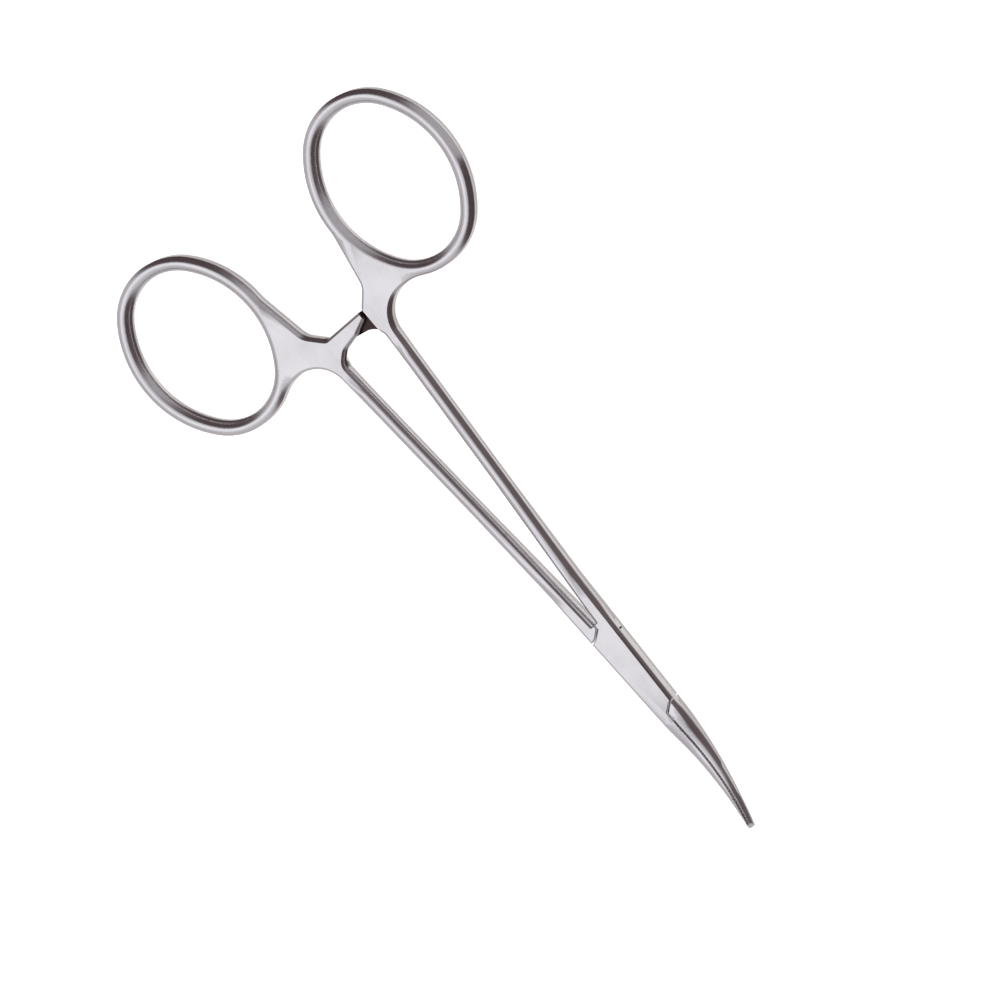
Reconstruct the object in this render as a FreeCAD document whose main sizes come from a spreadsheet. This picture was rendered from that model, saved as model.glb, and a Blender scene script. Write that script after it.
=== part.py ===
import FreeCAD, Part
import math
import os

import Sketcher

# Curved mosquito-pattern hemostat with a box lock and a ratchet, closed on its last tooth.
# Frame: origin on the hinge axis at the underside of the box lock, +X towards the jaw tips,
# +Y towards the finger ring of the box half, +Z the way the jaws curve.
# Both halves are drawn on their shared middle plane and then lifted by half the box thickness.

# Driving dimensions, in millimetres and degrees
SIZES = {
    # finger rings: the hole, its rim and where its centre lies from the hinge
    "ring_back": 79.5,
    "ring_side": 19.95,
    "ring_flare": 2.8,
    "ring_hole_length": 25.8,
    "ring_hole_width": 19.6,
    "ring_end_radius": 8.0,
    "ring_rim": 2.15,
    "ring_thickness": 3.4,
    # web between ring, ratchet arm and shank
    "web_waist": 66.5,
    "web_ring_radius": 7.6,
    "web_shank_radius": 5.1,
    "web_knee_back": 70.4,
    "web_knee_side": 6.3,
    "web_knee_radius": 3.0,
    "web_inner_angle": 11.0,
    "web_margin": 0.8,
    "web_taper": 6.2,
    # ratchet arms
    "arm_back": 67.75,
    "arm_root_side": 3.75,
    "arm_reach": 3.1,
    "arm_end_width": 1.3,
    "arm_middle_width": 2.4,
    "arm_middle_side": 0.6,
    "arm_root_width": 2.95,
    "arm_corner_side": 2.4,
    "arm_root_radius": 0.9,
    "arm_window_radius": 2.4,
    "arm_step_side": 3.97,
    "window_corner_back": 63.2,
    "window_corner_side": 4.2,
    "window_corner_radius": 1.8,
    "tooth_pitch": 1.45,
    "tooth_height": 0.5,
    "tooth_land": 0.2,
    "tooth_clearance": 0.08,
    # shanks
    "shank_outer_side": 6.2,
    "shank_inner_side": 0.4,
    "shank_thickness": 2.95,
    "shank_swell_start": 34.0,
    "crotch_back": 9.0,
    # box lock
    "box_back_side": 2.66,
    "box_break_back": 16.0,
    "box_front": 10.5,
    "box_front_side": 1.78,
    "box_thickness": 4.0,
    "box_end": 8.7,
    "lock_radius": 6.7,
    "shoulder_seam": 8.1,
    "shoulder_knee": 7.15,
    "shoulder_knee_side": 1.2,
    "shoulder_edge": 6.75,
    "shoulder_edge_side": 2.45,
    "lock_side": 4.0,
    "tongue_thickness": 1.3,
    "slot_clearance": 0.03,
    "shoulder_clearance": 0.25,
    "seam_gap": 0.03,
    # jaws
    "jaw_bend_start": 12.9,
    "jaw_bend_radius": 25.8,
    "jaw_bend_angle": 38.5,
    "jaw_root_thickness": 3.5,
    "jaw_tip_thickness": 1.4,
    "jaw_tip_side": 0.5,
    "serration_start": 9.9,
    "serration_pitch": 0.55,
    "serration_depth": 0.2,
    # rivet pin
    "pin_diameter": 2.0,
    "pin_head_diameter": 2.6,
    "pin_clearance": 0.03,
    # edges
    "edge_bevel": 0.4,
    "hole_bevel": 0.8,
    "hole_soft_bevel": 0.27,
    "seam_bevel": 0.14,
    "flank_blend": 60.0,
    "side_blend": 80.0,
    "jaw_blend": 20.0,
    # stock that cuts run through
    "stock": 16.0,
}

# Teeth on each ratchet arm
RATCHET_TEETH = 3

# Two places closer than this are the same place
NEAR = 0.001

# How far a face's normal may lean towards Z for an upright wall, and must for a flank
WALL_LEAN = 0.1
FLANK_LEAN = 0.72

# What a dress-up feature calls its size
DRESS_SIZE = {"Fillet": "Radius", "Chamfer": "Size"}

doc = FreeCAD.newDocument("hemostat_forceps")
sheet = doc.addObject("Spreadsheet::Sheet", "Sizes")
for row, (alias, number) in enumerate(SIZES.items(), start=1):
    sheet.set(f"A{row}", alias)
    sheet.set(f"B{row}", str(number))
    sheet.setAlias(f"B{row}", alias)
doc.recompute()


def size(name):
    return float(sheet.get(name))


def value(expression):
    return float(sheet.evalExpression(expression))


def bind(thing, prop, expression):
    thing.setExpression(prop, expression)


# Shared expressions for the places where several features meet
TIP_X = "(Sizes.jaw_bend_start + Sizes.jaw_bend_radius * sin(Sizes.jaw_bend_angle))"
TIP_Z = "(Sizes.jaw_bend_radius * (1 - cos(Sizes.jaw_bend_angle)))"
TIP_TOP_X = f"({TIP_X} - Sizes.jaw_tip_thickness / 2 * sin(Sizes.jaw_bend_angle))"
TIP_TOP_Z = f"({TIP_Z} + Sizes.jaw_tip_thickness / 2 * cos(Sizes.jaw_bend_angle))"
TIP_LOW_X = f"({TIP_X} + Sizes.jaw_tip_thickness / 2 * sin(Sizes.jaw_bend_angle))"
TIP_LOW_Z = f"({TIP_Z} - Sizes.jaw_tip_thickness / 2 * cos(Sizes.jaw_bend_angle))"
SIDE_SLOPE = "((Sizes.box_back_side - Sizes.box_front_side) / (Sizes.box_break_back + Sizes.box_front))"
BOX_BACK_SIDE = f"(Sizes.box_front_side + {SIDE_SLOPE} * (Sizes.box_front + Sizes.box_end))"
BOX_END_SIDE = f"(Sizes.box_front_side + {SIDE_SLOPE} * (Sizes.box_front - Sizes.box_end))"
SLOT_HEIGHT = "(Sizes.tongue_thickness + 2 * Sizes.slot_clearance)"
LOCK_FAR = "(Sizes.box_end + Sizes.lock_side)"
BORE_DIAMETER = "(Sizes.pin_diameter + 2 * Sizes.pin_clearance)"
PIN_SHOULDER = "(Sizes.box_thickness / 2 - (Sizes.pin_head_diameter - Sizes.pin_diameter) / 2)"
PIN_PROFILE = [
    ("0", "-Sizes.box_thickness / 2"),
    ("Sizes.pin_head_diameter / 2", "-Sizes.box_thickness / 2"),
    ("Sizes.pin_diameter / 2", f"-{PIN_SHOULDER}"),
    ("Sizes.pin_diameter / 2", PIN_SHOULDER),
    ("Sizes.pin_head_diameter / 2", "Sizes.box_thickness / 2"),
    ("0", "Sizes.box_thickness / 2"),
]


def mirrored(expression, side):
    return expression if side > 0 else f"-({expression})"


def new_sketch(body, name, role):
    sketch = body.newObject("Sketcher::SketchObject", name)
    plane = next(item for item in body.Origin.OriginFeatures if item.Role == role)
    sketch.AttachmentSupport = (plane, [""])
    sketch.MapMode = "FlatFace"
    return sketch


def bind_constraint(sketch, constraint, expression):
    index = sketch.addConstraint(constraint)
    sketch.setExpression(f"Constraints[{index}]", expression)


def place_point(sketch, edge, end, x, y):
    """Hold one end of an edge at a place given by two expressions."""
    bind_constraint(sketch, Sketcher.Constraint("DistanceX", -1, 1, edge, end, value(x)), x)
    bind_constraint(sketch, Sketcher.Constraint("DistanceY", -1, 1, edge, end, value(y)), y)


def tangent_arc(start, heading, end):
    """Arc that leaves start along heading and arrives at end."""
    chord = end - start
    left = FreeCAD.Vector(-heading.y, heading.x, 0)
    radius = chord.Length ** 2 / (2 * chord.dot(left))
    centre = start + left * radius
    spoke = (start + end) * 0.5 - centre
    middle = centre + spoke.normalize() * abs(radius)
    return Part.Arc(start, middle, end)


def corner_sketch(body, name, role, corners, arcs=()):
    """Closed outline through corners given as expressions, each with a blend radius or none.

    An edge listed in arcs is an arc that leaves the edge before it without a break, or, where its
    number is negative, meets the edge after it without a break.
    """
    sketch = new_sketch(body, name, role)
    places = [FreeCAD.Vector(value(corner[0]), value(corner[1]), 0) for corner in corners]
    count = len(corners)
    ends = []
    for index, start in enumerate(places):
        end = places[(index + 1) % count]
        if index in arcs:
            sketch.addGeometry(tangent_arc(start, (start - places[index - 1]).normalize(), end))
        elif -index in arcs:
            after = places[(index + 2) % count]
            sketch.addGeometry(tangent_arc(end, (end - after).normalize(), start))
        else:
            sketch.addGeometry(Part.LineSegment(start, end))
        first = sketch.getPoint(index, 1)
        ends.append((1, 2) if first.distanceToPoint(start) < NEAR else (2, 1))
    smooth = {arc - 1 if arc > 0 else -arc for arc in arcs}
    for index in range(count):
        following = (index + 1) % count
        joined = (index, ends[index][1], following, ends[following][0])
        kind = "Tangent" if index in smooth else "Coincident"
        sketch.addConstraint(Sketcher.Constraint(kind, *joined))
    for index, corner in enumerate(corners):
        place_point(sketch, index, ends[index][0], corner[0], corner[1])
    for index, corner in enumerate(corners):
        if len(corner) > 2:
            blend_corner(sketch, (index - 1) % count, corner[2])
    return sketch


def blend_corner(sketch, edge, radius):
    """Round the corner at the end of a line and keep the sharp corner as a point."""
    blend = len(sketch.Geometry)
    sketch.fillet(edge, 2, size(radius), True, True)
    bind_constraint(sketch, Sketcher.Constraint("Radius", blend, size(radius)), f"Sizes.{radius}")


def oval_sketch(body, name, side, offset):
    """Finger ring oval of two end arcs and two side arcs, grown by offset, flared outwards."""
    sketch = new_sketch(body, name, "XY_Plane")
    long_half = "(Sizes.ring_hole_length / 2)"
    cross_half = "(Sizes.ring_hole_width / 2)"
    end = "Sizes.ring_end_radius"
    reach = f"({long_half} - {end})"
    flank = f"(({reach} ^ 2 + {cross_half} ^ 2 - {end} ^ 2) / (2 * ({cross_half} - {end})))"
    end_radius = f"{end} + {offset}"
    side_radius = f"{flank} + {offset}"
    centre = FreeCAD.Vector(-size("ring_back"), side * size("ring_side"), 0)
    flare = math.radians(-side * size("ring_flare"))
    along = FreeCAD.Vector(math.cos(flare), math.sin(flare), 0)
    across = FreeCAD.Vector(-math.sin(flare), math.cos(flare), 0)
    end_centres = [centre + along * (way * value(reach)) for way in (1, -1)]
    side_centres = [centre - across * (way * (value(flank) - value(cross_half))) for way in (1, -1)]
    apart = (end_centres[0] - side_centres[0]).normalize()
    turn = abs(math.atan2(apart.cross(along).z, apart.dot(along)))
    quarter = math.pi / 2
    arcs = [
        (end_centres[0], end_radius, flare, turn),
        (side_centres[0], side_radius, flare + quarter, quarter - turn),
        (end_centres[1], end_radius, flare + 2 * quarter, turn),
        (side_centres[1], side_radius, flare + 3 * quarter, quarter - turn),
    ]
    for middle, radius, heading, spread in arcs:
        circle = Part.Circle(middle, FreeCAD.Vector(0, 0, 1), value(radius))
        sketch.addGeometry(Part.ArcOfCircle(circle, heading - spread, heading + spread))
    for arc in range(len(arcs)):
        sketch.addConstraint(Sketcher.Constraint("Tangent", arc, 2, (arc + 1) % len(arcs), 1))
    for arc, (middle, radius, heading, spread) in enumerate(arcs):
        bind_constraint(sketch, Sketcher.Constraint("Radius", arc, value(radius)), radius)
    for arc, way in ((0, ""), (2, "-")):
        x = f"-Sizes.ring_back + ({way}{reach}) * cos(Sizes.ring_flare)"
        y = mirrored(f"Sizes.ring_side - ({way}{reach}) * sin(Sizes.ring_flare)", side)
        place_point(sketch, arc, 3, x, y)
    return sketch


def pad(body, sketch, name, length="Sizes.stock"):
    feature = body.newObject("PartDesign::Pad", name)
    feature.Profile = sketch
    feature.SideType = "Symmetric"
    bind(feature, "Length", length)
    doc.recompute()
    return feature


def pocket(body, sketch, name, length="Sizes.stock", way="Symmetric"):
    """Cut by a sketch: both ways from its plane, or one way, Up or Down."""
    before = body.Shape.Volume
    feature = body.newObject("PartDesign::Pocket", name)
    feature.Profile = sketch
    if way == "Symmetric":
        feature.SideType = "Symmetric"
    else:
        feature.SideType = "One side"
        feature.Reversed = way == "Up"
    bind(feature, "Length", length)
    doc.recompute()
    if not body.Shape.Volume < before:
        raise RuntimeError(f"{name} cut nothing")
    return feature


def dress_edges(body, kind, name, depth, chosen):
    """Round (Fillet) or bevel (Chamfer) the edges of the body's tip that the test picks."""
    tip = body.Tip
    names = [f"Edge{i}" for i, edge in enumerate(tip.Shape.Edges, start=1) if chosen(edge, tip.Shape)]
    if not names:
        raise RuntimeError(f"{name} found no edge")
    feature = body.newObject(f"PartDesign::{kind}", name)
    feature.Base = (tip, names)
    bind(feature, DRESS_SIZE[kind], depth)
    doc.recompute()
    return feature


def edge_middle(edge):
    return edge.valueAt((edge.FirstParameter + edge.LastParameter) / 2)


def normal_at(face, point):
    u, v = face.Surface.parameter(point)
    return face.normalAt(u, v)


def wall_below_flank(edge, shape):
    """The upright wall of an edge between a wall and a flank, or nothing for any other edge."""
    middle = edge_middle(edge)
    faces = shape.ancestorsOfType(edge, Part.Face)
    lean = [abs(normal_at(face, middle).z) for face in faces]
    if len(faces) < 2 or min(lean) > WALL_LEAN or max(lean) < FLANK_LEAN:
        return None
    return faces[lean.index(min(lean))]


def in_seam(face):
    flat = isinstance(face.Surface, Part.Plane)
    return flat and abs(abs(face.CenterOfMass.y) - size("seam_gap")) < NEAR


def upright(edge):
    box = edge.BoundBox
    return box.XLength < 1e-4 and box.YLength < 1e-4


def add_ring(body, side):
    sketch = oval_sketch(body, f"{body.Name}_ring_outline", side, "Sizes.ring_rim")
    pad(body, sketch, f"{body.Name}_ring", "Sizes.ring_thickness")


def blank_corners(side):
    """Plan outline of web, ratchet arm, shank, box and jaw, clockwise for the half at +Y."""
    web_rise = "(Sizes.ring_back - Sizes.web_knee_back) * tan(Sizes.web_inner_angle)"
    corners = [
        ("-Sizes.arm_back", "-Sizes.arm_reach - Sizes.ring_rim"),
        ("-Sizes.arm_back + Sizes.arm_end_width", "-Sizes.arm_reach - Sizes.ring_rim"),
        ("-Sizes.arm_back + Sizes.arm_end_width", "-Sizes.arm_reach"),
        ("-Sizes.arm_back + Sizes.arm_middle_width", "-Sizes.arm_middle_side", "arm_window_radius"),
        ("-Sizes.arm_back + Sizes.arm_root_width", "Sizes.arm_corner_side", "arm_window_radius"),
        ("-Sizes.window_corner_back", "Sizes.window_corner_side", "window_corner_radius"),
        ("-Sizes.crotch_back", "Sizes.shank_inner_side"),
        ("-Sizes.crotch_back", "Sizes.seam_gap"),
        ("-Sizes.box_end", "Sizes.seam_gap"),
        ("-Sizes.box_end", f"-{BOX_BACK_SIDE}"),
        ("Sizes.box_front", "-Sizes.box_front_side", "side_blend"),
        (TIP_LOW_X, "-Sizes.jaw_tip_side"),
        (TIP_LOW_X, "-Sizes.seam_gap"),
        ("Sizes.box_end", "-Sizes.seam_gap"),
        ("Sizes.box_end", BOX_END_SIDE),
        ("-Sizes.box_break_back", "Sizes.box_back_side", "side_blend"),
        ("-Sizes.web_waist", "Sizes.shank_outer_side", "web_shank_radius"),
        ("-Sizes.web_waist", "Sizes.ring_side"),
        ("-Sizes.ring_back", f"Sizes.web_knee_side + {web_rise}"),
        ("-Sizes.web_knee_back", "Sizes.web_knee_side", "web_knee_radius"),
        ("-Sizes.arm_back", "Sizes.arm_root_side", "arm_root_radius"),
    ]
    return [(corner[0], mirrored(corner[1], side)) + corner[2:] for corner in corners]


def blend_web_into_ring(body, side):
    """The two upright edges where the web meets the outside of the ring."""
    waist = -size("web_waist")

    def meets_ring(edge, shape):
        middle = edge_middle(edge)
        inside = middle.x < -size("web_knee_back") - size("web_knee_radius")
        at_waist = abs(middle.x - waist) < NEAR and side * middle.y > 2 * size("web_shank_radius")
        if not upright(edge) or not (inside or at_waist):
            return False
        first, second = [normal_at(face, middle) for face in shape.ancestorsOfType(edge, Part.Face)]
        return first.getAngle(second) > NEAR

    dress_edges(body, "Fillet", f"{body.Name}_web_blend", "Sizes.web_ring_radius", meets_ring)


def cut_side_profile(body):
    """Everything above and below the side view of the half is cut away."""
    ring_half = "Sizes.ring_thickness / 2"
    shank_half = "Sizes.shank_thickness / 2"
    box_half = "Sizes.box_thickness / 2"
    root_half = "Sizes.jaw_root_thickness / 2"
    far = "-Sizes.ring_back - Sizes.ring_hole_length"
    near = f"{TIP_LOW_X} + Sizes.stock"
    flank = [
        (far, ring_half),
        ("-Sizes.window_corner_back - Sizes.web_margin", ring_half, "flank_blend"),
        ("-Sizes.window_corner_back + Sizes.web_taper", shank_half, "flank_blend"),
        ("-Sizes.shank_swell_start", shank_half, "flank_blend"),
        ("-Sizes.box_break_back + Sizes.box_thickness", box_half, "flank_blend"),
        ("Sizes.box_front", box_half, "jaw_blend"),
        ("Sizes.jaw_bend_start", root_half),
    ]
    below = [(corner[0], f"-{corner[1]}") + corner[2:] for corner in reversed(flank)]
    corners = [(far, "Sizes.stock")] + flank + [(TIP_TOP_X, TIP_TOP_Z), (TIP_LOW_X, TIP_LOW_Z)]
    corners += below + [(far, "-Sizes.stock"), (near, "-Sizes.stock"), (near, "Sizes.stock")]
    top_arc = len(flank)
    low_arc = top_arc + 2
    sketch = corner_sketch(body, f"{body.Name}_side_view", "XZ_Plane", corners, (top_arc, -low_arc))
    pocket(body, sketch, f"{body.Name}_side_cut", "6 * Sizes.stock")


def bevel_rims(body, side):
    """Bevel the long edges between the flanks and the upright walls, and those of the ring hole.

    The seam, the ends of the box blank, the end of the arm and the tip keep sharp edges.
    """
    arm_end = -side * (size("arm_reach") + size("ring_rim"))

    def stays_sharp(wall):
        centre = wall.CenterOfMass
        crotch = abs(centre.x + size("crotch_back")) < NEAR
        box_blank_end = abs(abs(centre.x) - size("box_end")) < NEAR
        flat = isinstance(wall.Surface, Part.Plane)
        return in_seam(wall) or flat and (crotch or box_blank_end or abs(centre.y - arm_end) < NEAR)

    def in_hole(edge):
        middle = edge_middle(edge)
        along = (middle.x + size("ring_back")) / (size("ring_hole_length") + size("ring_rim"))
        across = (middle.y - side * size("ring_side")) / (size("ring_hole_width") + size("ring_rim"))
        return math.hypot(along, across) < 1 / 2

    def hole_rim(edge, shape):
        return in_hole(edge) and wall_below_flank(edge, shape) is not None

    def hole_bevel_side(edge, shape):
        heights = [vertex.Point.z for vertex in edge.Vertexes]
        faces = shape.ancestorsOfType(edge, Part.Face)
        if not in_hole(edge) or len(faces) < 2 or max(heights) - min(heights) > NEAR:
            return False
        lean = [abs(normal_at(face, edge_middle(edge)).z) for face in faces]
        return max(lean) - min(lean) > WALL_LEAN

    def outer_rim(edge, shape):
        wall = None if in_hole(edge) else wall_below_flank(edge, shape)
        return wall is not None and not stays_sharp(wall)

    dress_edges(body, "Chamfer", f"{body.Name}_hole_bevel", "Sizes.hole_bevel", hole_rim)
    dress_edges(body, "Chamfer", f"{body.Name}_hole_soft", "Sizes.hole_soft_bevel", hole_bevel_side)
    dress_edges(body, "Chamfer", f"{body.Name}_rim_bevel", "Sizes.edge_bevel", outer_rim)


def bevel_seams(body):
    """Break the edges of the jaw seam and of the shoulders on the two flat sides of the lock."""
    top = size("box_thickness") / 2

    def seam_edge(edge, shape):
        middle = edge_middle(edge)
        wall = wall_below_flank(edge, shape)
        if wall is None:
            return False
        at_top = abs(abs(middle.z) - top) < NEAR and abs(middle.x) < size("box_front")
        return at_top or in_seam(wall) and middle.x > size("box_end")

    dress_edges(body, "Chamfer", f"{body.Name}_seam_bevel", "Sizes.seam_bevel", seam_edge)


def cut_ratchet(body, side):
    """The arm keeps one layer of the thickness, ends square and carries saw teeth."""
    arm_side = "-Sizes.arm_reach"
    back = "-Sizes.arm_back - Sizes.ring_rim"
    front = "-Sizes.window_corner_back + Sizes.arm_end_width"
    beyond = "-Sizes.arm_reach - 2 * Sizes.ring_rim"
    trim = [(back, beyond), (front, beyond), (front, arm_side), (back, arm_side)]
    trim = [(x, mirrored(y, side)) for x, y in trim]
    pocket(body, corner_sketch(body, f"{body.Name}_arm_trim", "XY_Plane", trim), f"{body.Name}_arm_end")
    step = [(back, beyond), (front, beyond), (front, "Sizes.arm_step_side"), (back, "Sizes.arm_step_side")]
    step = [(x, mirrored(y, side)) for x, y in step]
    sketch = corner_sketch(body, f"{body.Name}_arm_step", "XY_Plane", step)
    bind(sketch, "AttachmentOffset.Base.z", mirrored("-Sizes.tooth_clearance / 2", side))
    pocket(body, sketch, f"{body.Name}_arm_layer", way="Up" if side > 0 else "Down")
    crest = mirrored("-Sizes.tooth_clearance / 2", side)
    above = mirrored("Sizes.tooth_clearance / 2", side)
    valley = mirrored("-Sizes.tooth_clearance / 2 - Sizes.tooth_height", side)
    first = "-Sizes.arm_reach + Sizes.tooth_land"
    ramp_end = f"{first} + Sizes.tooth_pitch - Sizes.tooth_land"
    tooth = [(first, above), (first, crest), (first, valley), (ramp_end, crest), (ramp_end, above)]
    tooth = [(mirrored(y, side), z) for y, z in tooth]
    sketch = corner_sketch(body, f"{body.Name}_tooth_gap", "YZ_Plane", tooth)
    bind(sketch, "AttachmentOffset.Base.z", "-Sizes.arm_back")
    gap = pocket(body, sketch, f"{body.Name}_tooth_cut")
    row = body.newObject("PartDesign::LinearPattern", f"{body.Name}_teeth")
    row.Originals = [gap]
    row.Direction = (sketch, ["H_Axis"])
    row.Reversed = side < 0
    row.Mode = "Spacing"
    bind(row, "Offset", "Sizes.tooth_pitch")
    row.Occurrences = RATCHET_TEETH
    body.Tip = row
    doc.recompute()


def cut_serrations(body, side):
    """Fine grooves across the closing face of the jaw, square to its middle line."""
    face_side = mirrored("-Sizes.seam_gap", side)
    above = mirrored("Sizes.seam_gap", side)
    apex_side = mirrored("-Sizes.seam_gap - Sizes.serration_depth", side)
    shift = "0" if side > 0 else "Sizes.serration_pitch / 2"
    middle = f"Sizes.jaw_bend_start - {shift}"
    spread = "(Sizes.serration_depth + 2 * Sizes.seam_gap)"
    groove = [(f"{middle} - {spread}", above), (middle, apex_side), (f"{middle} + {spread}", above)]
    sketch = corner_sketch(body, f"{body.Name}_groove", "XY_Plane", groove)
    cut = pocket(body, sketch, f"{body.Name}_groove_cut", "2 * Sizes.box_thickness")
    straight = size("jaw_bend_start") - size("serration_start")
    row = body.newObject("PartDesign::LinearPattern", f"{body.Name}_straight_serrations")
    row.Originals = [cut]
    row.Direction = (sketch, ["H_Axis"])
    row.Reversed = True
    row.Mode = "Spacing"
    bind(row, "Offset", "Sizes.serration_pitch")
    row.Occurrences = 1 + int(straight / size("serration_pitch") + NEAR)
    body.Tip = row
    axis = body.newObject("PartDesign::Line", f"{body.Name}_bend_axis")
    axis.Placement.Rotation = FreeCAD.Rotation(FreeCAD.Vector(0, 0, 1), FreeCAD.Vector(0, -1, 0))
    bind(axis, "Placement.Base.x", "Sizes.jaw_bend_start")
    bind(axis, "Placement.Base.z", "Sizes.jaw_bend_radius")
    doc.recompute()
    step = math.degrees(size("serration_pitch") / size("jaw_bend_radius"))
    fan = body.newObject("PartDesign::PolarPattern", f"{body.Name}_bent_serrations")
    fan.Originals = [cut]
    fan.Axis = (axis, [""])
    fan.Mode = "Spacing"
    bind(fan, "Offset", "Sizes.serration_pitch / Sizes.jaw_bend_radius * 180 / pi")
    fan.Occurrences = 1 + int(size("jaw_bend_angle") / step)
    body.Tip = fan
    doc.recompute()


def shoulder_corners(clearance):
    """Edge of the cheeks against the other half, from the seam outwards, on the jaw side."""
    return [
        (f"Sizes.shoulder_seam{clearance}", "-Sizes.seam_gap"),
        (f"Sizes.shoulder_knee{clearance}", "Sizes.shoulder_knee_side"),
        (f"Sizes.shoulder_edge{clearance}", "Sizes.shoulder_edge_side"),
        (f"Sizes.shoulder_edge{clearance}", "Sizes.lock_side"),
    ]


def turned(corners):
    """The same corners after half a turn about the hinge."""
    return [(f"-({x})", f"-({y})") for x, y in corners]


def cut_box(body):
    """Shoulders of the cheeks, the slot between them and the bore with its countersinks."""
    edge = shoulder_corners("")
    beyond = edge + [(LOCK_FAR, "Sizes.lock_side"), (LOCK_FAR, "-Sizes.seam_gap")]
    slot = [
        ("Sizes.pin_diameter / 2", "-Sizes.seam_gap"),
        ("Sizes.pin_diameter / 2", "Sizes.lock_side"),
        (LOCK_FAR, "Sizes.lock_side"),
        (LOCK_FAR, "-Sizes.seam_gap"),
    ]
    for where, turn in (("jaw", list), ("shank", turned)):
        shoulder = corner_sketch(body, f"{where}_shoulder", "XY_Plane", turn(beyond))
        pocket(body, shoulder, f"{where}_shoulder_cut")
        mouth = corner_sketch(body, f"{where}_slot_mouth", "XY_Plane", turn(slot))
        pocket(body, mouth, f"{where}_slot_cut", SLOT_HEIGHT)
    disc = circle_sketch(body, "slot_disc", "2 * Sizes.lock_radius")
    pocket(body, disc, "slot_cut", SLOT_HEIGHT)
    profile = corner_sketch(body, "countersunk_bore", "XZ_Plane", PIN_PROFILE)
    before = body.Shape.Volume
    bore = body.newObject("PartDesign::Groove", "bore")
    bore.Profile = profile
    bore.ReferenceAxis = (profile, ["V_Axis"])
    bore.Angle = 360
    doc.recompute()
    if not body.Shape.Volume < before:
        raise RuntimeError("bore cut nothing")


def circle_sketch(body, name, diameter):
    sketch = new_sketch(body, name, "XY_Plane")
    radius = value(diameter) / 2
    circle = sketch.addGeometry(Part.Circle(FreeCAD.Vector(0, 0, 0), FreeCAD.Vector(0, 0, 1), radius))
    sketch.addConstraint(Sketcher.Constraint("Coincident", circle, 3, -1, 1))
    bind_constraint(sketch, Sketcher.Constraint("Diameter", circle, 2 * radius), diameter)
    return sketch


def tongue_end_sketch(body, name, way):
    """What lies beyond the round end of the tongue, on the shank side (-1) or the jaw side (+1)."""
    sketch = new_sketch(body, name, "XY_Plane")
    radius = size("lock_radius") - size("shoulder_clearance")
    seam = way * size("seam_gap")
    far = way * value(LOCK_FAR)
    low = FreeCAD.Vector(way * math.sqrt(radius ** 2 - seam ** 2), seam, 0)
    outer = FreeCAD.Vector(0, -way * radius, 0)
    half = math.sqrt(0.5) * radius
    places = [low, FreeCAD.Vector(far, seam, 0), FreeCAD.Vector(far, -way * radius, 0), outer]
    for start, end in zip(places, places[1:]):
        sketch.addGeometry(Part.LineSegment(start, end))
    arc = sketch.addGeometry(Part.Arc(outer, FreeCAD.Vector(way * half, -way * half, 0), low))
    near_low = 1 if sketch.getPoint(arc, 1).distanceToPoint(low) < NEAR else 2
    sketch.addConstraint(Sketcher.Constraint("Coincident", 0, 2, 1, 1))
    sketch.addConstraint(Sketcher.Constraint("Coincident", 1, 2, 2, 1))
    sketch.addConstraint(Sketcher.Constraint("Coincident", 2, 2, arc, 3 - near_low))
    sketch.addConstraint(Sketcher.Constraint("Coincident", arc, near_low, 0, 1))
    sketch.addConstraint(Sketcher.Constraint("Coincident", arc, 3, -1, 1))
    sketch.addConstraint(Sketcher.Constraint("Horizontal", 0))
    sketch.addConstraint(Sketcher.Constraint("Vertical", 1))
    sketch.addConstraint(Sketcher.Constraint("Horizontal", 2))
    sketch.addConstraint(Sketcher.Constraint("PointOnObject", 2, 2, -2))
    radius_text = "Sizes.lock_radius - Sizes.shoulder_clearance"
    bind_constraint(sketch, Sketcher.Constraint("Radius", arc, radius), radius_text)
    sign = "" if way > 0 else "-"
    seam_text = f"{sign}Sizes.seam_gap"
    bind_constraint(sketch, Sketcher.Constraint("DistanceY", -1, 1, 0, 2, seam), seam_text)
    bind_constraint(sketch, Sketcher.Constraint("DistanceX", -1, 1, 0, 2, far), f"{sign}{LOCK_FAR}")
    return sketch


def cut_tongue(body):
    """Thin the half to a tongue between the cheeks, round its ends and bore it."""
    for where, way in (("jaw", 1), ("shank", -1)):
        pocket(body, tongue_end_sketch(body, f"{where}_tongue_end", way), f"{where}_tongue_end_cut")
    edge = shoulder_corners(" + Sizes.shoulder_clearance")
    edge[0] = (edge[0][0], "Sizes.seam_gap")
    half = [(LOCK_FAR, "Sizes.seam_gap")] + edge
    cheek = half + [(f"-{LOCK_FAR}", "Sizes.lock_side")]
    cheek = cheek + turned(half) + [(LOCK_FAR, "-Sizes.lock_side")]
    for way, sign in (("Up", ""), ("Down", "-")):
        sketch = corner_sketch(body, f"cheek_seat_{way}", "XY_Plane", cheek)
        bind(sketch, "AttachmentOffset.Base.z", f"{sign}Sizes.tongue_thickness / 2")
        pocket(body, sketch, f"cheek_seat_cut_{way}", way=way)
    pocket(body, circle_sketch(body, "bore_circle", BORE_DIAMETER), "bore")


def make_half(name, side):
    body = doc.addObject("PartDesign::Body", name)
    body.Label = name
    sketch = corner_sketch(body, f"{name}_outline", "XY_Plane", blank_corners(side))
    pad(body, sketch, f"{name}_blank")
    cut_side_profile(body)
    add_ring(body, side)
    blend_web_into_ring(body, side)
    hole = oval_sketch(body, f"{name}_ring_hole", side, "0")
    pocket(body, hole, f"{name}_ring_cut")
    bevel_rims(body, side)
    cut_ratchet(body, side)
    if side > 0:
        cut_box(body)
    else:
        cut_tongue(body)
    bevel_seams(body)
    cut_serrations(body, side)
    bind(body, "Placement.Base.z", "Sizes.box_thickness / 2")
    return body


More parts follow.
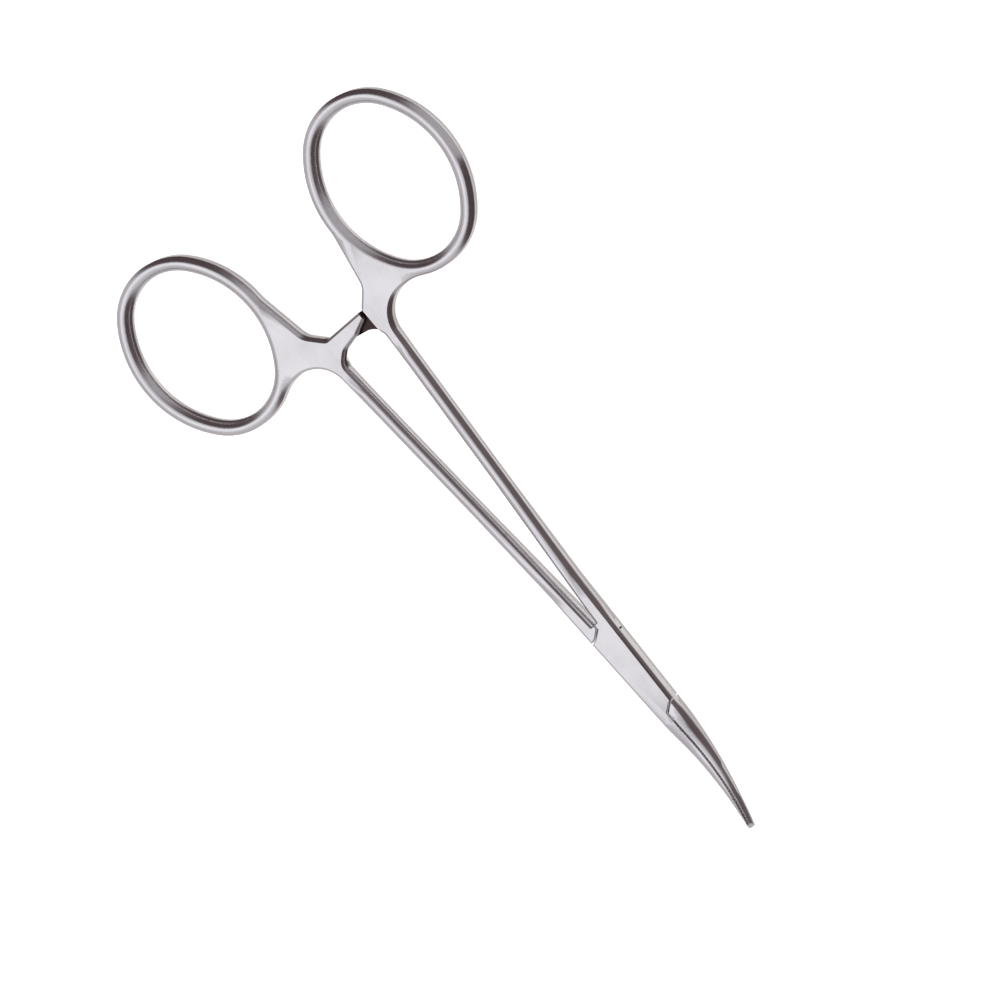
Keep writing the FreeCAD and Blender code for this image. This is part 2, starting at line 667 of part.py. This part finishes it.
def make_pin():
    body = doc.addObject("PartDesign::Body", "rivet_pin")
    body.Label = "rivet_pin"
    profile = corner_sketch(body, "pin_profile", "XZ_Plane", PIN_PROFILE)
    turn = body.newObject("PartDesign::Revolution", "pin_turning")
    turn.Profile = profile
    turn.ReferenceAxis = (profile, ["V_Axis"])
    turn.Angle = 360
    bind(body, "Placement.Base.z", "Sizes.box_thickness / 2")
    doc.recompute()
    return body


nodes = [make_half("box_half", 1), make_half("tongue_half", -1), make_pin()]
doc.recompute()
for item in doc.Objects:
    if "Invalid" in item.State or "Error" in item.State:
        raise RuntimeError(f"{item.Name} failed: {item.State}")
for node in nodes:
    if node.Shape.isNull() or not node.Shape.isValid():
        raise RuntimeError(f"{node.Label} has no valid shape")
os.makedirs("parts", exist_ok=True)
for node in nodes:
    node.Shape.exportStep(f"parts/{node.Label}.step")
    print(node.Label, round(node.Shape.Volume, 2), len(node.Shape.Solids))
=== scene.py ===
"""Looks for a curved mosquito-pattern hemostat in polished steel, closed on its ratchet.

Axes: +X to the jaw tips, +Y to the finger ring of the box half, +Z the way the jaws curve.
Everything is in metres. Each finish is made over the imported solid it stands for.
"""

import math

import bmesh
import bpy
from bpy.props import FloatProperty, FloatVectorProperty, PointerProperty, StringProperty
from mathutils import Matrix, Vector


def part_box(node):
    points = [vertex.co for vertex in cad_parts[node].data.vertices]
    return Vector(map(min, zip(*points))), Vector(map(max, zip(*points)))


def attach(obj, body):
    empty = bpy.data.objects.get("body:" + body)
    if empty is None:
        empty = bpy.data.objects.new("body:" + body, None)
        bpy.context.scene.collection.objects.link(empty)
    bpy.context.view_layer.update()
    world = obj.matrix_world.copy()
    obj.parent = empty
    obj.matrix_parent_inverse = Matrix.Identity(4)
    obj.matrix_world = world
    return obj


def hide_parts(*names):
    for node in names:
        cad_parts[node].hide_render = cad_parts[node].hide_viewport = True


bl_info = {
    "name": "Hemostat forceps",
    "version": (1, 0, 0),
    "blender": (4, 5, 0),
    "location": "View3D > Sidebar > Forceps",
    "description": "Finishes the steel halves and the pin of a hemostat and sets up its studio",
    "category": "Object",
}

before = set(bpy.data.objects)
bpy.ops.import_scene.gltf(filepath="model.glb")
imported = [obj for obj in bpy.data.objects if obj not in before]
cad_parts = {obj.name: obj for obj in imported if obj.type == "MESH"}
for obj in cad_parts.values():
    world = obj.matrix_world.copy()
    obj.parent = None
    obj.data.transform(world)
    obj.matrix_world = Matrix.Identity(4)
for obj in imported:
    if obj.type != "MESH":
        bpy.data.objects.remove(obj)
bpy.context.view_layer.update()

# Each half and the pin, by its node: the body it moves with and the record's material slot
PIECES = {
    "box_half": ("box_half", "box_half_steel"),
    "tongue_half": ("tongue_half", "tongue_half_steel"),
    "rivet_pin": ("box_half", "rivet_pin_steel"),
}

# Where light changes from rolling round the steel to lying even on it, each from none to full:
# the webs along X from their ring end and their shank end, and across
WEB_FROM_RING = (-0.076, -0.073)
WEB_FROM_SHANK = (-0.058, -0.062)
WEB_ACROSS = (0.014, 0.0105)
# the box lock along X from its shank end and its jaw end
LOCK_FROM_SHANK = (-0.018, -0.012)
LOCK_FROM_JAWS = (0.013, 0.005)

# How far up or down a face's normal points: on the flats from none to full, and on bevels between these
FLAT_LEAN = (0.9, 0.98)
BEVEL_LEAN = (0.2, 0.9)

# Shares of the noise at which the polish turns from bright to handled, and from smooth to dull
HANDLED_NOISE = (0.4, 0.75)
DULL_NOISE = (0.1, 0.5)

# Edge of the painted shade in the recess, as shares of the recess's reach
RECESS_EDGE = (1.05, 0.95)

# Bands of the studio, each from none to full. Round the horizon, by the cosine of the angle to the
# middle of the wall: the dark band, and the wall in it
DARK_ROUND = (-0.4, -0.05)
WALL_ROUND = (0.85, 0.935)
# By height, from 1 overhead to -1 underneath: the sky, and where each band ends above and below
SKY_HEIGHT = (-0.3, 0.2)
DARK_TOP = (0.95, 0.76)
NEAR_TOP = (0.75, 0.4)
BAND_FOOT = (-0.88, -0.55)
# To both sides of the wall the dark band starts this low
SIDE_FOOT = -1.06

# Point that the softbox faces
SOFTBOX_AIM = (-0.03, 0, 0)


class SteelSettings(bpy.types.PropertyGroup):
    """Sizes and colours of the polished steel."""

    colour: FloatVectorProperty(
        name="Colour",
        description="Colour of the bare steel",
        subtype="COLOR",
        size=3,
        min=0,
        max=1,
        default=(0.745, 0.735, 0.755),
    )
    worn_colour: FloatVectorProperty(
        name="Handled colour",
        description="Colour where the polish has been handled",
        subtype="COLOR",
        size=3,
        min=0,
        max=1,
        default=(0.68, 0.665, 0.685),
    )
    roughness: FloatProperty(
        name="Roughness",
        description="Roughness of the polished steel",
        subtype="FACTOR",
        min=0,
        max=1,
        default=0.2,
    )
    roughness_spread: FloatProperty(
        name="Roughness spread",
        description="How far the roughness rises in dull patches",
        subtype="FACTOR",
        min=0,
        max=1,
        default=0.12,
    )
    grain_length: FloatProperty(
        name="Grain length",
        description="Length of one polishing line along the instrument",
        subtype="DISTANCE",
        unit="LENGTH",
        default=0.004,
    )
    grain_width: FloatProperty(
        name="Grain width",
        description="Width of one polishing line",
        subtype="DISTANCE",
        unit="LENGTH",
        default=0.00018,
    )
    grain_depth: FloatProperty(
        name="Grain depth",
        description="Depth of the polishing lines",
        subtype="DISTANCE",
        unit="LENGTH",
        default=0.0000012,
    )
    patch_size: FloatProperty(
        name="Patch size",
        description="Size of the dull patches in the polish",
        subtype="DISTANCE",
        unit="LENGTH",
        default=0.006,
    )
    # Painted shade, not a finish of the steel: this near-black colour stands in for the shade and dark
    # reflection between the two ratchet arms
    recess_painted_shade: FloatVectorProperty(
        name="Recess colour",
        description="Colour of the unpolished faces between the two ratchet arms",
        subtype="COLOR",
        size=3,
        min=0,
        max=1,
        default=(0.055, 0.035, 0.035),
    )
    recess_middle: FloatVectorProperty(
        name="Recess middle",
        description="Middle of the space where the two ratchet arms lie over each other",
        subtype="TRANSLATION",
        unit="LENGTH",
        size=3,
        default=(-0.0661, 0, 0.002),
    )
    recess_reach: FloatVectorProperty(
        name="Recess reach",
        description="How far that space reaches from its middle along each axis",
        subtype="TRANSLATION",
        unit="LENGTH",
        size=3,
        default=(0.0035, 0.0042, 0.0007),
    )
    crease_angle: FloatProperty(
        name="Crease angle",
        description="Edges sharper than this stay sharp",
        subtype="ANGLE",
        unit="ROTATION",
        default=math.radians(52),
    )
    flat_angle: FloatProperty(
        name="Flat angle",
        description="Faces that meet at less than this are one flat",
        subtype="ANGLE",
        unit="ROTATION",
        default=math.radians(1),
    )
    bevel_weight: FloatProperty(
        name="Bevel weight",
        description="How much more than a flat a bevel counts where they meet, which rounds the edge",
        min=1,
        max=10,
        default=2.5,
    )
    weld_distance: FloatProperty(
        name="Weld distance",
        description="Corners closer than this are one corner",
        subtype="DISTANCE",
        unit="LENGTH",
        default=0.0000005,
    )


class StudioSettings(bpy.types.PropertyGroup):
    """Camera, light and floor."""

    tilt_to_ring: FloatProperty(
        name="Tilt to ring",
        description="How far the camera leans from straight above towards the ring of the box half",
        subtype="ANGLE",
        unit="ROTATION",
        default=math.radians(20.7),
    )
    roll: FloatProperty(
        name="Roll",
        description="How far the instrument points below the right of the image",
        subtype="ANGLE",
        unit="ROTATION",
        default=math.radians(49.95),
    )
    distance: FloatProperty(
        name="Distance",
        description="From the middle of the view to the camera",
        subtype="DISTANCE",
        unit="LENGTH",
        default=0.7662,
    )
    focus: FloatVectorProperty(
        name="Middle of the view",
        description="Point that the camera looks at",
        subtype="TRANSLATION",
        unit="LENGTH",
        size=3,
        default=(-0.03252, 0.00068, 0.002),
    )
    lens: FloatProperty(
        name="Lens",
        description="Focal length in millimetres",
        unit="CAMERA",
        default=183,
    )
    floor_size: FloatProperty(
        name="Floor size",
        description="Side of the square floor",
        subtype="DISTANCE",
        unit="LENGTH",
        default=6,
    )
    floor_colour: FloatVectorProperty(
        name="Floor colour",
        description="Colour of the floor as the steel and the light see it",
        subtype="COLOR",
        size=3,
        min=0,
        max=1,
        default=(0.82, 0.79, 0.77),
    )
    floor_glow: FloatProperty(
        name="Floor glow",
        description="Share of white that the camera sees in the floor before the light falls on it",
        subtype="FACTOR",
        min=0,
        max=1,
        default=0.9,
    )
    sky_colour: FloatVectorProperty(
        name="Sky colour",
        description="Light of the studio overhead",
        subtype="COLOR",
        size=3,
        min=0,
        max=1,
        default=(0.745, 0.74, 0.76),
    )
    ground_colour: FloatVectorProperty(
        name="Ground colour",
        description="Pale ground that the steel reflects",
        subtype="COLOR",
        size=3,
        min=0,
        max=1,
        default=(0.92, 0.88, 0.86),
    )
    near_colour: FloatVectorProperty(
        name="Near colour",
        description="Pale grey band round the rest of the horizon",
        subtype="COLOR",
        size=3,
        min=0,
        max=1,
        default=(0.6, 0.575, 0.59),
    )
    wall_colour: FloatVectorProperty(
        name="Wall colour",
        description="Dark grey wall in the band beyond the ring of the box half",
        subtype="COLOR",
        size=3,
        min=0,
        max=1,
        default=(0.16, 0.13, 0.13),
    )
    wall_turn: FloatProperty(
        name="Wall turn",
        description="How far the middle of the wall lies from straight beyond the ring, away from the tips",
        subtype="ANGLE",
        unit="ROTATION",
        default=math.radians(10),
    )
    dark_colour: FloatVectorProperty(
        name="Dark colour",
        description="Dark band to both sides of the wall",
        subtype="COLOR",
        size=3,
        min=0,
        max=1,
        default=(0.09, 0.064, 0.066),
    )
    card_colour: FloatVectorProperty(
        name="Card colour",
        description="Pale grey card beside the finger rings, seen only in the steel",
        subtype="COLOR",
        size=3,
        min=0,
        max=1,
        default=(0.47, 0.45, 0.46),
    )
    card_low: FloatVectorProperty(
        name="Card low corner",
        description="Lowest corner of the upright card, at the free end of the rings",
        subtype="TRANSLATION",
        unit="LENGTH",
        size=3,
        default=(-0.135, 0.105, -0.035),
    )
    card_high: FloatVectorProperty(
        name="Card high corner",
        description="Highest corner of the upright card, at the shank end of the rings",
        subtype="TRANSLATION",
        unit="LENGTH",
        size=3,
        default=(-0.071, 0.045, 0.15),
    )
    softbox_size: FloatProperty(
        name="Softbox size",
        description="Side of the square softbox",
        subtype="DISTANCE",
        unit="LENGTH",
        default=0.9,
    )
    softbox_place: FloatVectorProperty(
        name="Softbox place",
        description="Middle of the softbox",
        subtype="TRANSLATION",
        unit="LENGTH",
        size=3,
        default=(-0.25, -0.55, 1.1),
    )
    softbox_light: FloatProperty(
        name="Softbox light",
        description="Brightness of the softbox face, where 1 is white",
        subtype="FACTOR",
        min=0,
        max=4,
        default=0.3,
    )


def steel_settings():
    return bpy.context.scene.forceps_steel


def studio_settings():
    return bpy.context.scene.forceps_studio


class Tree:
    """A small writer of node trees: adds nodes and links their sockets by name."""

    def __init__(self, owner):
        owner.use_nodes = True
        self.tree = owner.node_tree
        self.tree.nodes.clear()

    def add(self, kind, **values):
        node = self.tree.nodes.new(kind)
        for name, value in values.items():
            setattr(node, name, value)
        return node

    def link(self, source, output, target, socket):
        self.tree.links.new(source.outputs[output], target.inputs[socket])

    def ramp(self, source, output, span, location, result=(0, 1), curve="SMOOTHSTEP"):
        """Value that goes from the first to the second result over a span."""
        slope = self.add("ShaderNodeMapRange", location=location, interpolation_type=curve)
        for side, edge, value in zip(("Min", "Max"), span, result):
            slope.inputs[f"From {side}"].default_value = edge
            slope.inputs[f"To {side}"].default_value = value
        self.link(source, output, slope, "Value")
        return slope

    def times(self, first, second, location):
        """Product of the first outputs of two nodes."""
        product = self.add("ShaderNodeMath", location=location, operation="MULTIPLY")
        self.link(first, 0, product, 0)
        self.link(second, 0, product, 1)
        return product

    def mix(self, share, first, second, location):
        """Mix of two colours by the share of the second; None leaves a colour to be linked."""
        blend = self.add("ShaderNodeMix", location=location, data_type="RGBA")
        self.link(share, 0, blend, "Factor")
        for socket, colour in (("A", first), ("B", second)):
            if colour is not None:
                blend.inputs[socket].default_value = (*colour, 1)
        return blend

    def glow(self, kind, colour, location, strength=1):
        """Background or Emission of one colour."""
        light = self.add(kind, location=location)
        light.inputs["Color"].default_value = (*colour, 1)
        light.inputs["Strength"].default_value = strength
        return light


def recess_shade_share(tree, place, look):
    """1 on the faces of the ratchet arms that lie against each other, where shade is painted, 0 elsewhere.
    """
    axes = tree.add("ShaderNodeSeparateXYZ", location=(-1000, 700))
    tree.link(place, "Object", axes, "Vector")
    shares = []
    for row, (axis, middle, reach) in enumerate(zip("XYZ", look.recess_middle, look.recess_reach)):
        height = 700 + 200 * row
        offset = tree.add("ShaderNodeMath", location=(-800, height), operation="SUBTRACT")
        offset.inputs[1].default_value = middle
        tree.link(axes, axis, offset, 0)
        apart = tree.add("ShaderNodeMath", location=(-600, height), operation="ABSOLUTE")
        tree.link(offset, "Value", apart, 0)
        edge = [share * reach for share in RECESS_EDGE]
        shares.append(tree.ramp(apart, "Value", edge, (-400, height)))
    return tree.times(tree.times(shares[0], shares[1], (-200, 800)), shares[2], (0, 800))


def dull_patches(tree, place, look):
    """Cloudy noise of the size of the patches in the polish."""
    patches = tree.add("ShaderNodeTexNoise", location=(-800, 200))
    patches.inputs["Scale"].default_value = 1 / look.patch_size
    patches.inputs["Detail"].default_value = 4
    patches.inputs["Roughness"].default_value = 0.6
    tree.link(place, "Object", patches, "Vector")
    return patches


def polishing_lines(tree, place, look):
    """Noise drawn out into fine lines along the instrument."""
    stretch = tree.add("ShaderNodeMapping", location=(-1000, -200))
    width = 1 / look.grain_width
    stretch.inputs["Scale"].default_value = (1 / look.grain_length, width, width)
    tree.link(place, "Object", stretch, "Vector")
    lines = tree.add("ShaderNodeTexNoise", location=(-800, -200))
    lines.inputs["Scale"].default_value = 1
    lines.inputs["Detail"].default_value = 3
    tree.link(stretch, "Vector", lines, "Vector")
    return lines


def steel_material(name):
    """Polished steel with fine lines, handled and dull patches, and painted shade on the faces in the
    recess between the ratchet arms.
    """
    look = steel_settings()
    material = bpy.data.materials.new(name)
    tree = Tree(material)
    place = tree.add("ShaderNodeTexCoord", location=(-1200, 0))
    shader = tree.add("ShaderNodeBsdfPrincipled", location=(0, 0))
    output = tree.add("ShaderNodeOutputMaterial", location=(300, 0))
    tree.link(shader, "BSDF", output, "Surface")
    shader.inputs["Metallic"].default_value = 1
    shader.inputs["Specular IOR Level"].default_value = 0.5
    patches = dull_patches(tree, place, look)
    lines = polishing_lines(tree, place, look)

    handled = tree.ramp(patches, "Fac", HANDLED_NOISE, (-600, 300), curve="LINEAR")
    tint = tree.mix(handled, look.colour, look.worn_colour, (-400, 300))
    # Painted shade: the faces between the ratchet arms take the near-black recess colour, standing in for
    # the shade the arms cast on each other
    shade = tree.mix(recess_shade_share(tree, place, look), None, look.recess_painted_shade, (-150, 500))
    tree.link(tint, "Result", shade, "A")
    tree.link(shade, "Result", shader, "Base Color")

    cloudy = tree.times(patches, lines, (-500, -50))
    roughest = look.roughness + look.roughness_spread
    dull = tree.ramp(cloudy, "Value", DULL_NOISE, (-300, -50), (look.roughness, roughest), "LINEAR")
    tree.link(dull, "Result", shader, "Roughness")

    bump = tree.add("ShaderNodeBump", location=(-300, -350))
    bump.inputs["Strength"].default_value = 1
    bump.inputs["Distance"].default_value = look.grain_depth
    tree.link(lines, "Fac", bump, "Height")
    tree.link(bump, "Normal", shader, "Normal")
    return material


def step(value, span):
    """Smooth step from 0 at the start of a span to 1 at its end."""
    start, end = span
    share = min(max((value - start) / (end - start), 0), 1)
    return share * share * (3 - 2 * share)


def flatness(place):
    """1 on the wide flats of webs and box lock, 0 on the narrow rims, shanks and jaws."""
    web = step(place.x, WEB_FROM_RING) * step(place.x, WEB_FROM_SHANK) * step(abs(place.y), WEB_ACROSS)
    lock = step(place.x, LOCK_FROM_SHANK) * step(place.x, LOCK_FROM_JAWS)
    return max(web, lock)


def flat_areas(shape, flat_angle):
    """Area of the flat patch that each face belongs to, by face index."""
    areas = {}
    for start in shape.faces:
        if start.index in areas:
            continue
        patch = {start}
        waiting = [start]
        while waiting:
            for edge in waiting.pop().edges:
                if edge.calc_face_angle(math.pi) < flat_angle:
                    fresh = [face for face in edge.link_faces if face not in patch]
                    patch.update(fresh)
                    waiting.extend(fresh)
        area = sum(face.calc_area() for face in patch)
        areas.update({face.index: area for face in patch})
    return areas


def smooth_fan(vertex, start):
    """Faces round a vertex that are reached from one of them without crossing a sharp edge."""
    fan = {start}
    waiting = [start]
    while waiting:
        for edge in waiting.pop().edges:
            if edge.smooth and vertex in edge.verts:
                fresh = [face for face in edge.link_faces if face not in fan]
                fan.update(fresh)
                waiting.extend(fresh)
    return fan


def roundness(face, bevel_weight):
    """Weight of a face in its corners' normals: bevels pull the light over the flats beside them."""
    low, high = BEVEL_LEAN
    return bevel_weight if low < abs(face.normal.z) < high else 1


def soft_normals(shape, look):
    """Corner normals: light rolls round the narrow forms and stays even on the wide flats."""
    areas = flat_areas(shape, look.flat_angle)
    normals = []
    for face in shape.faces:
        flat = step(abs(face.normal.z), FLAT_LEAN)
        for loop in face.loops:
            rolled = Vector()
            even = Vector()
            for part in smooth_fan(loop.vert, face):
                corner = next(other for other in part.loops if other.vert == loop.vert)
                rolled += part.normal * corner.calc_angle() * roundness(part, look.bevel_weight)
                # squared, so that the widest flat at the corner outweighs the rest
                even += part.normal * areas[part.index] ** 2
            share = flat * flatness(loop.vert.co)
            normals.append(rolled.normalized().lerp(even.normalized(), share).normalized())
    return normals


def finished_copy(node_name, name, material):
    """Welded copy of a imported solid, with soft light across its bevels and crisp light at its corners."""
    look = steel_settings()
    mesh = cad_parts[node_name].data.copy()
    mesh.name = name
    mesh.materials.clear()
    mesh.materials.append(material)
    shape = bmesh.new()
    shape.from_mesh(mesh)
    bmesh.ops.remove_doubles(shape, verts=shape.verts, dist=look.weld_distance)
    for face in shape.faces:
        face.smooth = True
        face.material_index = 0
    for edge in shape.edges:
        edge.smooth = edge.calc_face_angle(math.pi) < look.crease_angle
    shape.normal_update()
    shape.faces.index_update()
    normals = soft_normals(shape, look)
    shape.to_mesh(mesh)
    shape.free()
    mesh.normals_split_custom_set(normals)
    piece = bpy.data.objects.new(name, mesh)
    bpy.context.scene.collection.objects.link(piece)
    return piece


class FORCEPS_OT_finish_piece(bpy.types.Operator):
    """Polish one piece of the forceps: a half or the pin"""

    bl_idname = "forceps.finish_piece"
    bl_label = "Finish piece"

    node: StringProperty(name="Node", description="CAD node to finish", default="box_half")

    def execute(self, context):
        if self.node not in PIECES:
            raise RuntimeError(f"no piece is named {self.node}")
        body, slot = PIECES[self.node]
        material = steel_material(f"{self.node}_polished_steel")
        piece = finished_copy(self.node, f"{self.node}_finish", material)
        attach(piece, body)
        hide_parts(self.node)
        return {"FINISHED"}


def studio_sheet(name, corners, material):
    """Flat four-cornered sheet for the studio."""
    mesh = bpy.data.meshes.new(name)
    mesh.from_pydata(corners, [], [(0, 1, 2, 3)])
    mesh.materials.append(material)
    sheet = bpy.data.objects.new(name, mesh)
    bpy.context.scene.collection.objects.link(sheet)
    return sheet


def floor_material():
    """Pale floor, near white to the camera; reflections look through it to the pale ground."""
    look = studio_settings()
    material = bpy.data.materials.new("pale_floor")
    tree = Tree(material)
    output = tree.add("ShaderNodeOutputMaterial", location=(800, 0))
    matt = tree.add("ShaderNodeBsdfDiffuse", location=(-200, 0))
    matt.inputs["Color"].default_value = (*look.floor_colour, 1)
    glow = tree.glow("ShaderNodeEmission", (1, 1, 1), (-200, -200), look.floor_glow)
    bright = tree.add("ShaderNodeAddShader", location=(100, -100))
    tree.link(matt, "BSDF", bright, 0)
    tree.link(glow, "Emission", bright, 1)
    ray = tree.add("ShaderNodeLightPath", location=(100, 400))
    seen = tree.add("ShaderNodeMixShader", location=(350, 0))
    tree.link(ray, "Is Camera Ray", seen, 0)
    tree.link(matt, "BSDF", seen, 1)
    tree.link(bright, "Shader", seen, 2)
    clear = tree.add("ShaderNodeBsdfTransparent", location=(350, -250))
    reflected = tree.add("ShaderNodeMixShader", location=(600, 0))
    tree.link(ray, "Is Glossy Ray", reflected, 0)
    tree.link(seen, "Shader", reflected, 1)
    tree.link(clear, "BSDF", reflected, 2)
    tree.link(reflected, "Shader", output, "Surface")
    return material


def build_floor():
    """Level floor under the lowest point of the forceps."""
    half = studio_settings().floor_size / 2
    lowest = min(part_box(node)[0].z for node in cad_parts)
    corners = [(-half, -half, lowest), (half, -half, lowest), (half, half, lowest), (-half, half, lowest)]
    floor = studio_sheet("floor", corners, floor_material())


def build_card():
    """Upright pale card beside the rings, seen only in the steel."""
    look = studio_settings()
    material = bpy.data.materials.new("pale_card")
    tree = Tree(material)
    output = tree.add("ShaderNodeOutputMaterial", location=(300, 0))
    glow = tree.glow("ShaderNodeEmission", look.card_colour, (0, 0))
    tree.link(glow, "Emission", output, "Surface")
    low, high = look.card_low, look.card_high
    free_end, shank_end = low[:2], high[:2]
    corners = [(*free_end, low[2]), (*shank_end, low[2]), (*shank_end, high[2]), (*free_end, high[2])]
    card = studio_sheet("card", corners, material)
    card.visible_camera = False
    card.visible_diffuse = False
    card.visible_shadow = False


def heading_node(tree, axes, turn):
    """Cosine between a direction's heading and the middle of the wall."""
    flat = tree.add("ShaderNodeCombineXYZ", location=(-800, 250))
    tree.link(axes, "X", flat, "X")
    tree.link(axes, "Y", flat, "Y")
    unit = tree.add("ShaderNodeVectorMath", location=(-600, 250), operation="NORMALIZE")
    tree.link(flat, "Vector", unit, 0)
    heading = tree.add("ShaderNodeVectorMath", location=(-400, 250), operation="DOT_PRODUCT")
    heading.inputs[1].default_value = (-math.sin(turn), math.cos(turn), 0)
    tree.link(unit, "Vector", heading, 0)
    return heading


def dark_share(tree, axes, heading):
    """1 in the dark band, which starts lower to both sides of the wall than at the wall."""
    start, full = BAND_FOOT
    foot = tree.ramp(heading, "Value", WALL_ROUND, (-200, 650), (SIDE_FOOT, start))
    knee = tree.add("ShaderNodeMath", location=(0, 650), operation="ADD")
    knee.inputs[1].default_value = full - start
    tree.link(foot, "Result", knee, 0)
    above_foot = tree.ramp(axes, "Z", BAND_FOOT, (200, 650))
    tree.link(foot, "Result", above_foot, "From Min")
    tree.link(knee, "Value", above_foot, "From Max")
    below_top = tree.ramp(axes, "Z", DARK_TOP, (-400, -50))
    height = tree.times(below_top, above_foot, (-150, -150))
    around = tree.ramp(heading, "Value", DARK_ROUND, (-200, 250))
    return tree.times(height, around, (50, 0))


def near_share(tree, axes):
    """1 in the pale grey band round the horizon."""
    below_top = tree.ramp(axes, "Z", NEAR_TOP, (-400, -650))
    above_foot = tree.ramp(axes, "Z", BAND_FOOT, (-400, -250))
    return tree.times(below_top, above_foot, (-150, -350))


def build_world():
    """Even light overhead, pale below, with bands round the horizon for the steel to reflect."""
    look = studio_settings()
    world = bpy.data.worlds.new("studio")
    bpy.context.scene.world = world
    tree = Tree(world)
    output = tree.add("ShaderNodeOutputWorld", location=(1400, 0))
    place = tree.add("ShaderNodeTexCoord", location=(-1200, 0))
    axes = tree.add("ShaderNodeSeparateXYZ", location=(-1000, 0))
    tree.link(place, "Generated", axes, "Vector")
    heading = heading_node(tree, axes, look.wall_turn)

    skyward = tree.ramp(axes, "Z", SKY_HEIGHT, (-400, -450))
    room = tree.mix(skyward, look.ground_colour, look.sky_colour, (50, -400))
    near = tree.mix(near_share(tree, axes), None, look.near_colour, (300, -300))
    tree.link(room, "Result", near, "A")
    at_wall = tree.ramp(heading, "Value", WALL_ROUND, (-200, 450))
    dark = tree.mix(at_wall, look.dark_colour, look.wall_colour, (50, 400))
    lit = tree.mix(dark_share(tree, axes, heading), None, None, (550, 0))
    tree.link(near, "Result", lit, "A")
    tree.link(dark, "Result", lit, "B")

    light = tree.add("ShaderNodeBackground", location=(800, 0))
    tree.link(lit, "Result", light, "Color")
    white = tree.glow("ShaderNodeBackground", (1, 1, 1), (800, -200))
    ray = tree.add("ShaderNodeLightPath", location=(800, 400))
    choose = tree.add("ShaderNodeMixShader", location=(1100, 0))
    tree.link(ray, "Is Camera Ray", choose, 0)
    tree.link(light, "Background", choose, 1)
    tree.link(white, "Background", choose, 2)
    tree.link(choose, "Shader", output, "Surface")


def camera_turn():
    """Way back to the camera, and its rotation: the instrument points to the lower right."""
    look = studio_settings()
    back = Vector((0, math.tan(look.tilt_to_ring), 1)).normalized()
    along = Vector((1, 0, 0))
    across = back.cross(along)
    right = along * math.cos(look.roll) + across * math.sin(look.roll)
    up = across * math.cos(look.roll) - along * math.sin(look.roll)
    return back, Matrix((right, up, back)).transposed()


def build_camera():
    """Long lens over the instrument, leaning towards the ring of the box half."""
    look = studio_settings()
    data = bpy.data.cameras.new("photo_camera")
    data.lens = look.lens
    data.sensor_width = 36
    data.clip_start = 0.01
    data.clip_end = 20
    camera = bpy.data.objects.new("photo_camera", data)
    bpy.context.scene.collection.objects.link(camera)
    back, turn = camera_turn()
    camera.matrix_world = Matrix.Translation(Vector(look.focus) + back * look.distance) @ turn.to_4x4()
    bpy.context.scene.camera = camera


def build_softbox():
    """Large square softbox, high on the side of the ring of the tongue half."""
    look = studio_settings()
    data = bpy.data.lights.new("softbox", "AREA")
    data.shape = "SQUARE"
    data.size = look.softbox_size
    data.energy = look.softbox_light * math.pi * look.softbox_size**2
    softbox = bpy.data.objects.new("softbox", data)
    bpy.context.scene.collection.objects.link(softbox)
    softbox.location = look.softbox_place
    aim = Vector(SOFTBOX_AIM) - softbox.location
    softbox.rotation_euler = aim.to_track_quat("-Z", "Y").to_euler()


class FORCEPS_OT_build_studio(bpy.types.Operator):
    """Add the pale floor, the card, the studio light and the camera"""

    bl_idname = "forceps.build_studio"
    bl_label = "Build studio"

    def execute(self, context):
        build_floor()
        build_card()
        build_world()
        build_softbox()
        build_camera()
        context.scene.view_settings.view_transform = "Standard"
        return {"FINISHED"}


class FORCEPS_PT_panel(bpy.types.Panel):
    """Finishes and studio of the forceps"""

    bl_label = "Hemostat forceps"
    bl_idname = "FORCEPS_PT_panel"
    bl_space_type = "VIEW_3D"
    bl_region_type = "UI"
    bl_category = "Forceps"

    def draw(self, context):
        layout = self.layout
        for group in (context.scene.forceps_steel, context.scene.forceps_studio):
            box = layout.box()
            for name in group.bl_rna.properties.keys():
                if name not in ("rna_type", "name"):
                    box.prop(group, name)
        for node in PIECES:
            layout.operator(FORCEPS_OT_finish_piece.bl_idname, text=f"Finish {node}").node = node
        layout.operator(FORCEPS_OT_build_studio.bl_idname)


CLASSES = (
    SteelSettings,
    StudioSettings,
    FORCEPS_OT_finish_piece,
    FORCEPS_OT_build_studio,
    FORCEPS_PT_panel,
)


def register():
    for entry in CLASSES:
        bpy.utils.register_class(entry)
    bpy.types.Scene.forceps_steel = PointerProperty(type=SteelSettings)
    bpy.types.Scene.forceps_studio = PointerProperty(type=StudioSettings)


def unregister():
    del bpy.types.Scene.forceps_studio
    del bpy.types.Scene.forceps_steel
    for entry in reversed(CLASSES):
        bpy.utils.unregister_class(entry)


def main():
    register()
    for node in PIECES:
        bpy.ops.forceps.finish_piece(node=node)
    bpy.ops.forceps.build_studio()


if __name__ == "__main__":
    main()
